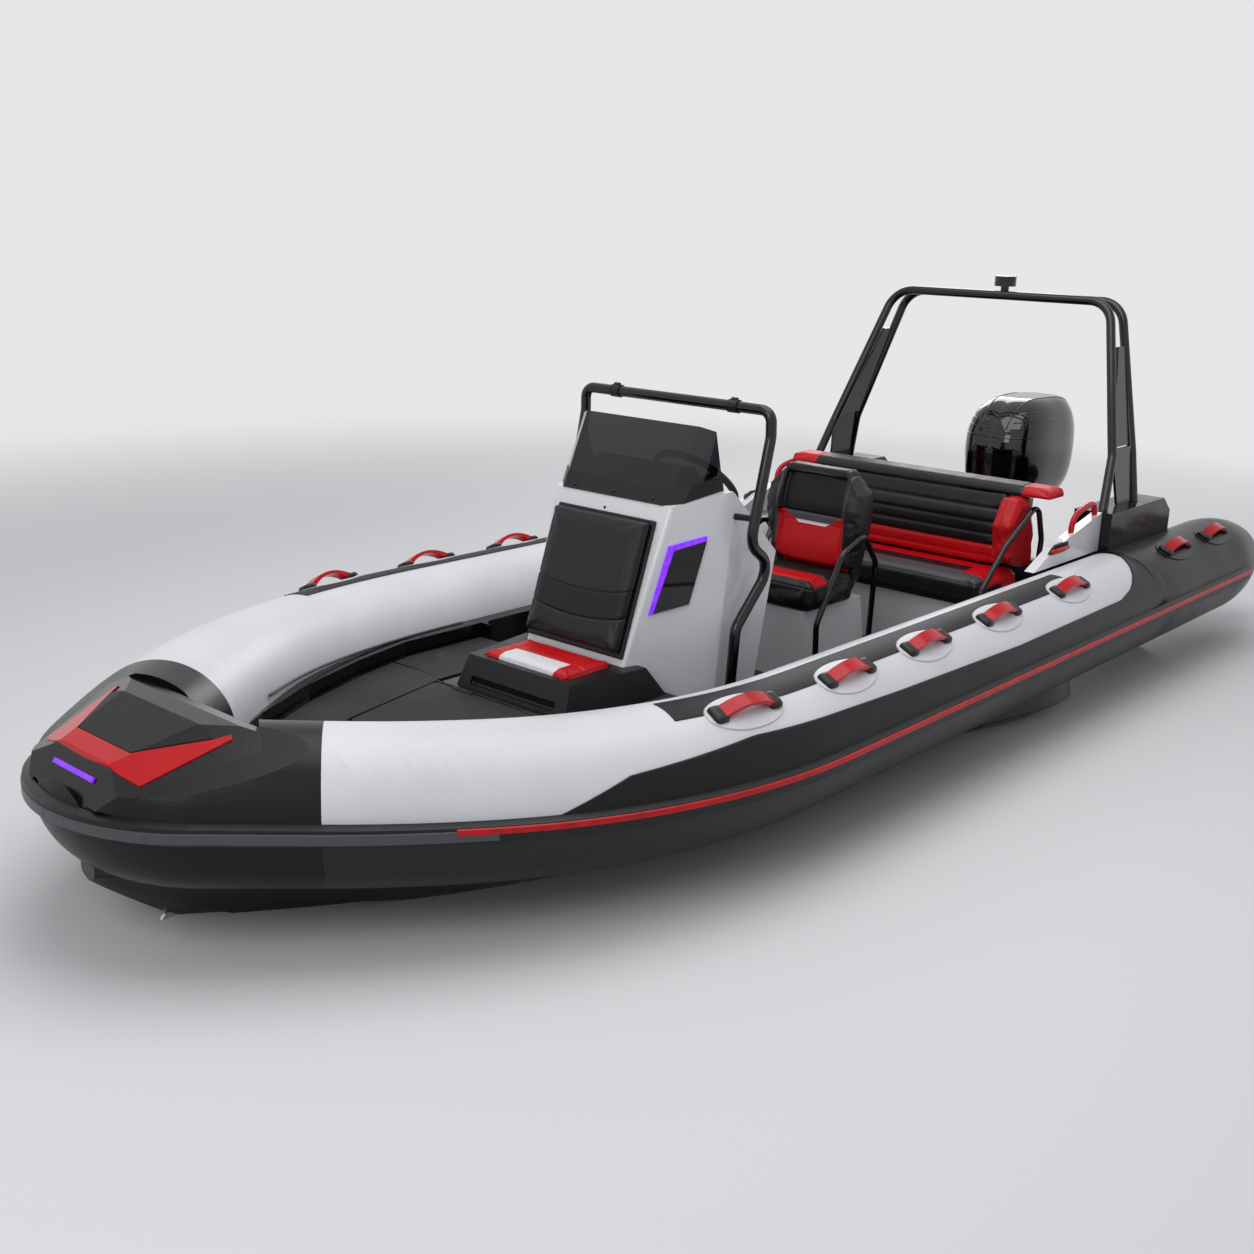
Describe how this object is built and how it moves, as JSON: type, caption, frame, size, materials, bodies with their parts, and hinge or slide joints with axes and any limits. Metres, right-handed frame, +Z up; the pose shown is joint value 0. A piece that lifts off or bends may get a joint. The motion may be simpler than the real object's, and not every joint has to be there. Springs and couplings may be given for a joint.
{
  "type": "rigid inflatable boat",
  "caption": "Six metre rigid inflatable boat with console, helm seat, bench, tubular arch and a tilting, steering outboard.",
  "frame": {"origin": "On the waterline, on the centre plane, about amidships", "axes": "+X to the bow, +Y to port, +Z up"},
  "size_m": [6.0957, 2.398, 2.4566],
  "materials": {
    "gelcoat_black": "gloss",
    "deck_foam": "matte",
    "tube_fabric": "satin",
    "tube_black": "satin",
    "rubber_black": "matte",
    "rubber_red": "satin",
    "paint_red": "gloss",
    "gelcoat_white": "gloss",
    "led_violet": "glow",
    "dark_glass": "gloss",
    "tinted_acrylic": "tinted",
    "powder_coat": "powder coated",
    "moulded_black": "matte",
    "vinyl_black": "vinyl",
    "vinyl_red": "vinyl",
    "grey_grp": "satin",
    "stainless": "polished",
    "cowl_paint": "gloss",
    "outboard_paint": "gloss",
    "cast_iron": "plain"
  },
  "bodies": {
    "root": {"hull": "gelcoat_black", "foredeck_pad": "deck_foam", "cockpit_pad": "deck_foam", "tube_port": "tube_fabric", "tube_starboard": "tube_fabric", "tube_bow": "tube_black", "stern_cone_port": "tube_black", "stern_cone_starboard": "tube_black", "rub_strake": "rubber_black", "rub_stripe": "rubber_red", "bow_step": "gelcoat_black", "handle_patches": "tube_fabric", "tube_strips": "tube_black", "grab_handles": "paint_red", "console": "gelcoat_white", "console_windows": "dark_glass", "console_lights": "led_violet", "backrest_frame": "moulded_black", "console_backrest": "vinyl_black", "console_rail": "powder_coat", "windscreen": "tinted_acrylic", "windscreen_band": "moulded_black", "dash_hood": "moulded_black", "wheel_boss": "moulded_black", "throttle": "moulded_black", "bow_seat_base": "moulded_black", "bow_seat_cushion": "vinyl_red", "helm_seat_base": "gelcoat_white", "helm_seat_cushion": "vinyl_black", "helm_seat_back": "vinyl_black", "seat_rails": "powder_coat", "bench_base": "gelcoat_white", "bench_cushion": "vinyl_red", "bench_back": "vinyl_black", "bench_ends": "vinyl_red", "bench_roll": "vinyl_black", "stern_blocks": "grey_grp", "side_panels": "gelcoat_white", "arch": "powder_coat", "arch_light": "moulded_black", "tow_eyes": "stainless", "clamp_bracket": "outboard_paint", "bow_step_pad": "deck_foam", "bow_trim": "paint_red", "bow_light": "led_violet"},
    "hatch": {"foredeck_hatch": "deck_foam"},
    "wheel": {"steering_wheel": "moulded_black"},
    "tilt": {"swivel_bracket": "outboard_paint"},
    "engine": {"outboard_leg": "outboard_paint", "cowl": "cowl_paint", "powerhead": "cast_iron"},
    "prop": {"propeller": "outboard_paint"}
  },
  "joints": [
    {"name": "hatch_hinge", "type": "hinge", "parent": "root", "child": "hatch", "pos_m": [1.268, 0, 0.336], "axis": [0, -1, 0], "range_deg": [0, 95]},
    {"name": "outboard_tilt", "type": "hinge", "parent": "root", "child": "tilt", "pos_m": [-2.215, 0, 0.38], "axis": [0, 1, 0], "range_deg": [0, 60]},
    {"name": "outboard_steer", "type": "hinge", "parent": "tilt", "child": "engine", "pos_m": [-2.4, 0, 0.38], "axis": [0, 0, 1], "range_deg": [-30, 30]},
    {"name": "propeller_spin", "type": "hinge", "parent": "engine", "child": "prop", "pos_m": [-2.7, 0, -0.492], "axis": [1, 0, 0], "continuous": true},
    {"name": "wheel_turn", "type": "hinge", "parent": "root", "child": "wheel", "pos_m": [0.21953, 0, 0.99479], "axis": [0.6844, 0, -0.7291], "range_deg": [-450, 450]}
  ],
  "couplings": [
    {"joint": "wheel_turn", "follows": "outboard_steer", "ratio": 15}
  ]
}
